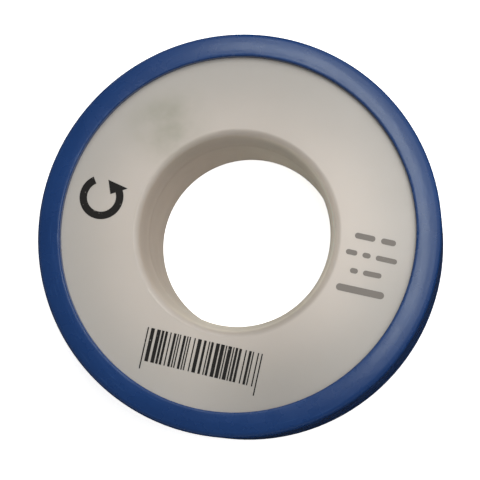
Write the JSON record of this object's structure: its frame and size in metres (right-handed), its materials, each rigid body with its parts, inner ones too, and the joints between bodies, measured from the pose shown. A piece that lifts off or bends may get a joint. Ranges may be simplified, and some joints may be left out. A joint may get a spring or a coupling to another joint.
{
  "type": "thread seal tape roll",
  "caption": "Roll of white thread seal tape wound on a flanged spool with a through bore, closed by a blue cover ring that pulls off the front.",
  "frame": {"origin": "on the bore's axis, on the flat back face that the roll lies on", "axes": "+Z along the bore from the back face to the front face; the tape's free end lies on the +X side"},
  "size_m": [0.055, 0.055, 0.0146],
  "materials": {
    "spool_plastic": "milky white moulded plastic, satin",
    "cover_plastic": "blue moulded plastic, satin with a soft sheen",
    "seal_tape": "soft white tape, dull"
  },
  "bodies": {
    "spool": {"spool_body": "spool_plastic", "rear_flange": "spool_plastic"},
    "cover": {"cover_ring": "cover_plastic"},
    "winding": {"tape": "seal_tape"}
  },
  "joints": [
    {"name": "cover_slide", "type": "slide", "parent": "spool", "child": "cover", "axis": [0, 0, 1], "range_m": [0, 0.016]},
    {"name": "tape_turn", "type": "hinge", "parent": "spool", "child": "winding", "pos_m": [0, 0, 0.00685], "axis": [0, 0, 1], "continuous": true}
  ]
}
